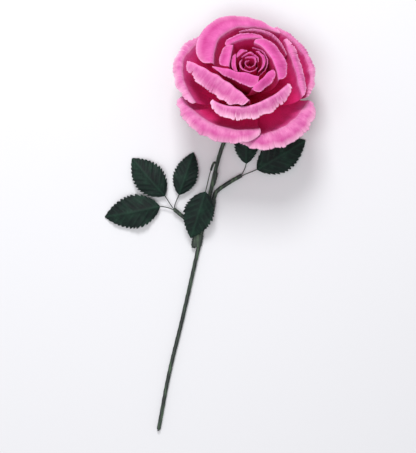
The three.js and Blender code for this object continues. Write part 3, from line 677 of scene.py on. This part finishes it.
def make_leaf(label, leaf, material):
    seed = sum(map(ord, label))
    s = np.linspace(0, 1, LEAF_ROWS)
    towards_tip = (np.array(leaf.tip, float) - leaf.base) * [1, 1, 0]
    forwards = unit(towards_tip)
    length = float(np.linalg.norm(towards_tip))

    outline = np.maximum(np.sin(math.pi * s**0.8) ** 0.8, NARROWEST)
    tooth = (s * LEAF_TEETH * 2 + rippled(TOOTH_PLACE_WANDERS, s, seed + 8)) % 1
    depth = TOOTH * (1 + rippled(TOOTH_DEPTH_WANDERS, s, seed + 9))
    half_width = leaf.width / 2 * outline * (1 - depth * (1 - smooth(0, 0.85, tooth)))
    reach = np.linspace(-1, 1, 2 * LEAF_HALF_COLUMNS + 1)[None, :] * half_width[:, None]
    along = np.broadcast_to(s[:, None] * length, reach.shape)
    from_rib = np.abs(reach)
    points = midrib(leaf, s)[:, None] + np.cross(UP, forwards) * reach[..., None]
    points += forwards * (from_rib * LEAF_SWEEP)[..., None]

    vein = ((along - from_rib * VEIN_SWEEP) / (length / LEAF_VEINS)) % 1
    rib = fading(RIB_WIDTH, from_rib)
    cleft = fading(VEIN_WIDTH, vein - 0.5) * smooth(0.3, 2.5, from_rib)
    cleft *= 1 - 0.6 * from_rib / (leaf.width / 2)
    pillow = np.sin(TAU * vein - math.pi / 2) * smooth(1, 6, from_rib)
    lift = RIB_HEIGHT * rib - VEIN_DEPTH * cleft + PILLOW_HEIGHT * pillow
    lift += smooth(1, leaf.width / 2, from_rib) * rippled(LEAF_SWELL, along + reach * 0.5, seed)
    lift += rippled(LEAF_CRINKLE, along * 0.8 + reach, seed + 1)
    fall = from_rib * math.tan(LEAF_DROOP)
    points[..., 2] = np.maximum(points[..., 2] - fall + lift, LEAF_CLEAR + 0.3 * lift)
    paper = np.stack([reach, along, np.full_like(reach, seed)], axis=-1)
    layers = {"paper": paper[:, ::-1], "tone": np.maximum(rib, cleft)[:, ::-1]}
    leaf_obj = sheet(f"leaf_{label}_crepe", points[:, ::-1], LEAF_THICKNESS, layers)
    finish_piece(leaf_obj, "leaf_paper", material, f"leaf_{label}")


def make_spray(name, leaf_material, tape_material):
    spray = SPRAYS[name]
    at, along = on_stem(spray.bound)
    side = np.array(spray.side, float)
    tape_r = STALK_TAPE_R if len(spray.leaves) > 1 else LEAF_WIRE_R + GAP + TAPE
    apart = STEM_TAPE_R + tape_r + 3 * GAP
    beside = at + side * apart
    bound_ends = [beside - along * BINDING_LENGTH / 2, beside + along * BINDING_LENGTH / 2]
    line = np.array([*bound_ends, *spray.stalk], float)
    path = spline(line, per_step=14)
    stalk_tape = tube(f"stalk_tape_{name}_wound", path, tape_r, 20, tape_r - TAPE, STALK_WINDING)
    finish_piece(stalk_tape, "floral_tape", tape_material, f"stalk_tape_{name}")
    make_binding(name, at, along, side, apart, tape_r, tape_material)

    tangents = unit(np.gradient(line, axis=0))
    beside_wire = unit(np.cross(tangents, UP))
    over_wire = np.cross(beside_wire, tangents)
    below = LEAF_PAPER / 2 + GAP + LEAF_WIRE_R
    for k, leaf in enumerate(spray.leaves):
        label = f"{name}_{k + 1}" if len(spray.leaves) > 1 else name
        a, b = WIRE_PLACES[len(spray.leaves)][k]
        under = midrib(leaf, np.array([0, 1 / 3, 2 / 3, 1]) * WIRE_ALONG_LEAF) - UP * below
        path = spline([*(line + beside_wire * a + over_wire * b), *under], per_step=10)
        wire = tube(f"leaf_wire_{label}_wrapped", path, LEAF_WIRE_R, sides=12)
        finish_piece(wire, "floral_tape", tape_material, f"leaf_wire_{label}")
        make_leaf(label, leaf, leaf_material)


def make_binding(name, at, along, side, apart, tape_r, material):
    """Tape wound round the stem and a stalk together: an oval sleeve, drawn in at both ends."""
    across = unit(side - along * (side @ along))
    over = np.cross(along, across)
    wall = GAP + TAPE - 0.05
    big, small = STEM_TAPE_R + wall, tape_r + wall
    stations = np.linspace(-1, 1, BINDING_RINGS)[:, None]
    angles = np.linspace(0, TAU, BINDING_SIDES, endpoint=False)[None, :]
    on_stalk = np.cos(angles) > 0
    x = np.where(on_stalk, apart + small * np.cos(angles), big * np.cos(angles)) - apart / 2
    y = np.where(on_stalk, small, big) * np.sin(angles)
    reach = (BINDING_LENGTH - 1) / 2
    turns = ((stations + 1) * reach / BINDING_PITCH + angles / TAU) % 1
    lapped = BINDING_LAP * smooth(0, 0.1, turns) * (1 - turns)
    lapped += rippled(BINDING_WRINKLES, stations * reach + angles, len(name))
    swell = 1 + lapped - BINDING_PINCH * np.abs(stations) ** 6
    middle = at + across * apart / 2 + along * (stations * reach)[..., None]
    outer = middle + across * (x * swell)[..., None] + over * (y * swell)[..., None]
    inner = middle + (outer - middle) * (1 - BINDING_THICKNESS / big)
    verts, faces = sleeve(outer, inner)
    binding = make_object(f"binding_{name}_wound", lay_on_table(verts), faces)
    finish_piece(binding, "floral_tape", material, f"binding_{name}")


# ---- Materials ----------------------------------------------------------------------------------------
RIM_FADE = 1.6  # how far in from its rim the dyed paper is worn
WASHED_SHARE = 0.28  # RIM_FADE over this is how far in it is washed paler
# Dye along a petal, from its foot (0) over the fold (0.5) to its rim (1). The pale stops just past the fold
# are a painted highlight. In the outer ramp, the fall from them towards the rim is painted shade on the
# roll's lower side.
INNER_DYE_AND_HIGHLIGHT = [
    (0.10, srgb(240, 40, 112)),
    (0.34, srgb(232, 40, 116)),
    (0.47, srgb(206, 34, 108)),
    (0.51, srgb(240, 134, 202)),
    (0.57, srgb(214, 90, 166)),
    (0.80, srgb(192, 62, 138)),
    (1.0, srgb(214, 100, 172)),
]
OUTER_DYE_HIGHLIGHT_AND_SHADE = [
    (0.10, srgb(232, 20, 92)),
    (0.25, srgb(228, 32, 108)),
    (0.38, srgb(218, 42, 116)),
    (0.46, srgb(214, 70, 140)),
    (0.50, srgb(218, 104, 166)),
    (0.54, srgb(224, 134, 188)),
    (0.64, srgb(208, 112, 170)),
    (0.84, srgb(196, 88, 152)),
    (1.0, srgb(202, 96, 158)),
]
# Painted highlight along each fold's crest
PAINTED_CREST_HIGHLIGHT = srgb(255, 196, 226)
# Painted highlight, in pale patches over the folded rims
PAINTED_HIGHLIGHT_PATCHES = srgb(252, 186, 222)
WASHED = srgb(255, 206, 232)
WORN = srgb(236, 172, 210)
BLOTCHES = srgb(222, 178, 208)
STREAKS = srgb(230, 186, 214)
SHEEN_TINT = srgb(255, 150, 210)
LEAF_GREENS = [(0.3, srgb(5, 17, 17)), (0.5, srgb(9, 29, 25)), (0.72, srgb(20, 50, 38))]
LEAF_VEIN = srgb(38, 76, 58)
LEAF_FLECKS = [(0.32, srgb(196, 200, 196)), (0.6, srgb(255, 255, 255))]
SEPAL_GREENS = [(0.3, srgb(52, 104, 72)), (0.55, srgb(84, 146, 104)), (0.75, srgb(120, 172, 128))]
TAPE_GREENS = [(0.3, srgb(20, 24, 24)), (0.5, srgb(32, 44, 38)), (0.7, srgb(70, 94, 68))]
STEEL_GREYS = [(0.3, srgb(120, 122, 124)), (0.5, srgb(150, 152, 154)), (0.7, srgb(170, 172, 174))]
FLOOR_GREY = srgb(222, 222, 226)


def grey(value):
    return (value, value, value, 1)


class Paint:
    """A new material, with short calls for the nodes that colour it."""

    def __init__(self, name, **settings):
        self.material = bpy.data.materials.new(name)
        self.material.use_nodes = True
        self.tree = self.material.node_tree
        self.shader = self.tree.nodes["Principled BSDF"]
        for key, value in settings.items():
            self.shader.inputs[key.replace("_", " ")].default_value = value

    def give(self, socket, value):
        """Links another node's output to the socket, or sets the socket to a constant."""
        if isinstance(value, bpy.types.NodeSocket):
            self.tree.links.new(value, socket)
        else:
            socket.default_value = value

    def attribute(self, name, output="Fac"):
        node = self.tree.nodes.new("ShaderNodeAttribute")
        node.attribute_name = name
        return node.outputs[output]

    def place(self):
        return self.tree.nodes.new("ShaderNodeTexCoord").outputs["Object"]

    def noise(self, vector, scale, detail=3):
        """Noise that is stretched by having another scale along each axis."""
        mapping = self.tree.nodes.new("ShaderNodeMapping")
        mapping.inputs["Scale"].default_value = scale
        self.give(mapping.inputs["Vector"], vector)
        noise = self.tree.nodes.new("ShaderNodeTexNoise")
        noise.inputs["Scale"].default_value = 1
        noise.inputs["Detail"].default_value = detail
        self.give(noise.inputs["Vector"], mapping.outputs[0])
        return noise.outputs["Fac"]

    def ramp(self, value, stops):
        node = self.tree.nodes.new("ShaderNodeValToRGB")
        elements = node.color_ramp.elements
        while len(elements) < len(stops):
            elements.new(1)
        for element, (position, colour) in zip(elements, stops):
            element.position = position
            element.color = colour
        self.give(node.inputs["Fac"], value)
        return node.outputs[0]

    def math(self, operation, a, b):
        node = self.tree.nodes.new("ShaderNodeMath")
        node.operation = operation
        self.give(node.inputs[0], a)
        self.give(node.inputs[1], b)
        return node.outputs[0]

    def times(self, first, *factors):
        """The product of all the values given."""
        for factor in factors:
            first = self.math("MULTIPLY", first, factor)
        return first

    def mix(self, kind, factor, a, b):
        node = self.tree.nodes.new("ShaderNodeMix")
        node.data_type = "RGBA"
        node.blend_type = kind
        first, second = [i for i in node.inputs if i.type == "RGBA"]
        self.give(node.inputs["Factor"], factor)
        self.give(first, a)
        self.give(second, b)
        return next(o for o in node.outputs if o.type == "RGBA")

    def finish(self, colour, height, distance, strength):
        """Joins the colour and the bumps to the shader."""
        self.give(self.shader.inputs["Base Color"], colour)
        bump = self.tree.nodes.new("ShaderNodeBump")
        bump.inputs["Strength"].default_value = strength
        bump.inputs["Distance"].default_value = distance
        self.give(bump.inputs["Height"], height)
        self.give(self.shader.inputs["Normal"], bump.outputs[0])
        return self.material


def petal_material():
    paint = Paint(
        "petal_crepe",
        Roughness=0.85,
        Sheen_Weight=0.12,
        Sheen_Roughness=0.4,
        Sheen_Tint=SHEEN_TINT,
        Specular_IOR_Level=0.12,
    )
    paper = paint.attribute("paper", "Vector")
    pale = paint.attribute("pale")
    crinkle = paint.noise(paper, (2.6, 0.22, 1), 5)
    gather = paint.noise(paper, (0.6, 0.06, 1), 2)
    blotch = paint.noise(paper, (0.16, 0.09, 1), 4)
    share = paint.times(paint.attribute("tone"), 0.5)
    wander = paint.times(paint.math("SUBTRACT", blotch, 0.5), 0.06)
    tone = paint.math("ADD", share, wander)
    # Dye ramps, which also paint a highlight over the fold and, on the outer petals, shade down the roll
    # towards the rim
    colour = paint.mix("MIX", pale, paint.ramp(tone, INNER_DYE_AND_HIGHLIGHT), paint.ramp(tone, OUTER_DYE_HIGHLIGHT_AND_SHADE))

    # Pale patches over the folded rims are a painted highlight, stronger on the paler petals
    folded = paint.ramp(tone, [(0.5, grey(0)), (0.54, grey(1)), (0.7, grey(1)), (0.9, grey(0.3))])
    patches = paint.math("ADD", paint.times(gather, 0.4), blotch)
    patches = paint.ramp(patches, [(0.6, grey(0)), (0.9, grey(0.3))])
    highlight_patch_mask = paint.times(folded, patches, paint.math("MAXIMUM", pale, 0.3))
    colour = paint.mix("MIX", highlight_patch_mask, colour, PAINTED_HIGHLIGHT_PATCHES)
    # A thin painted highlight along each fold's crest
    crest = paint.ramp(share, [(0.497, grey(0)), (0.51, grey(0.45)), (0.54, grey(0))])
    colour = paint.mix("MIX", crest, colour, PAINTED_CREST_HIGHLIGHT)
    colour = paint.mix("MULTIPLY", 0.3, colour, paint.ramp(blotch, [(0.36, BLOTCHES), (0.62, grey(1))]))
    colour = paint.mix("MULTIPLY", 0.6, colour, paint.ramp(crinkle, [(0.3, STREAKS), (0.62, grey(1))]))

    rim = paint.times(paint.attribute("rim"), 1 / RIM_FADE)
    near_rim = paint.ramp(paint.times(rim, WASHED_SHARE), [(0.1, grey(1)), (1.0, grey(0))])
    faint = paint.noise(paper, (0.05, 0.03, 1), 2)
    faint = paint.ramp(faint, [(0.35, grey(0.25)), (0.62, grey(0.72))])
    colour = paint.mix("MIX", paint.times(near_rim, faint, pale), colour, WASHED)
    at_rim = paint.ramp(rim, [(0.0, grey(1)), (1.0, grey(0))])
    patchy = paint.noise(paper, (0.5, 0.3, 1), 3)
    patchy = paint.ramp(patchy, [(0.42, grey(0.1)), (0.6, grey(0.6))])
    colour = paint.mix("MIX", paint.times(at_rim, patchy), colour, WORN)
    relief = paint.math("ADD", crinkle, paint.times(gather, 0.9))
    return paint.finish(colour, relief, distance=0.0004, strength=0.7)


def leaf_material():
    paint = Paint("leaf_crepe", Roughness=0.62, Specular_IOR_Level=0.22)
    paper = paint.attribute("paper", "Vector")
    crinkle = paint.noise(paper, (0.5, 2.2, 1), 4)
    blotch = paint.noise(paper, (0.13, 0.1, 1), 3)
    veins = paint.times(paint.attribute("tone"), 0.3)
    colour = paint.mix("MIX", veins, paint.ramp(blotch, LEAF_GREENS), LEAF_VEIN)
    colour = paint.mix("MULTIPLY", 0.8, colour, paint.ramp(crinkle, LEAF_FLECKS))
    return paint.finish(colour, crinkle, distance=0.0003, strength=0.6)


def sepal_material():
    paint = Paint("sepal_crepe", Roughness=0.8)
    crinkle = paint.noise(paint.attribute("paper", "Vector"), (2.2, 0.3, 1), 4)
    return paint.finish(paint.ramp(crinkle, SEPAL_GREENS), crinkle, distance=0.0003, strength=0.6)


def mottled(name, shades, scale, **settings):
    """Paper or wire whose colour wanders a little, with the same small bumps in it."""
    paint = Paint(name, **settings)
    noise = paint.noise(paint.place(), scale, 4)
    return paint.finish(paint.ramp(noise, shades), noise, distance=0.0002, strength=0.5)


# ---- Floor, light and camera, in metres ---------------------------------------------------------------
FLOOR_HALF = 3.0
WORLD_LIGHT = 0.52
LIT_PLACE = (0, 0.05, 0.03)  # what both lights are aimed at
CAMERA_Y, CAMERA_HEIGHT = 0.115, 1.25
CAMERA_LENS = 119


def soft_light(name, place, size, power):
    lamp = bpy.data.lights.new(name, "AREA")
    lamp.size = size
    lamp.energy = power
    obj = bpy.data.objects.new(name, lamp)
    obj.location = place
    obj.rotation_euler = (Vector(LIT_PLACE) - obj.location).to_track_quat("-Z", "Y").to_euler()
    bpy.context.scene.collection.objects.link(obj)


def make_studio():
    scene = bpy.context.scene
    scene.view_settings.view_transform = "Standard"
    corners = np.array([(-1, -1, 0), (1, -1, 0), (1, 1, 0), (-1, 1, 0)]) * FLOOR_HALF
    floor = make_object("floor", corners, [[0, 1, 2, 3]])
    pale = Paint("pale_floor", Roughness=0.9, Base_Color=FLOOR_GREY)
    floor.data.materials.append(pale.material)

    world = bpy.data.worlds.new("studio")
    world.use_nodes = True
    background = world.node_tree.nodes["Background"]
    background.inputs["Color"].default_value = grey(1)
    background.inputs["Strength"].default_value = WORLD_LIGHT
    scene.world = world
    soft_light("key", place=(-0.1, 0.95, 0.85), size=0.4, power=11)
    soft_light("fill", place=(-0.3, -0.2, 1.2), size=0.7, power=6)

    lens = bpy.data.cameras.new("camera")
    lens.lens = CAMERA_LENS
    camera = bpy.data.objects.new("camera", lens)
    camera.location = (0, CAMERA_Y, CAMERA_HEIGHT)
    camera.rotation_euler = (-math.atan2(CAMERA_Y, CAMERA_HEIGHT), 0, 0)
    scene.collection.objects.link(camera)
    scene.camera = camera


# ---- The rose -----------------------------------------------------------------------------------------
petal_crepe = petal_material()
leaf_crepe = leaf_material()
sepal_crepe = sepal_material()
tape = mottled("floral_tape", TAPE_GREENS, (520, 70, 520), Roughness=0.55)
steel = mottled("steel_wire", STEEL_GREYS, (900, 900, 90), Roughness=0.35, Metallic=1.0)
for order in range(len(PETALS)):
    make_petal(order, petal_crepe)
make_core(petal_crepe)
make_cup(sepal_crepe)
for k in range(len(SEPALS)):
    make_sepal(k, sepal_crepe)
make_stem(steel, tape)
for spray in SPRAYS:
    make_spray(spray, leaf_crepe, tape)
make_studio()
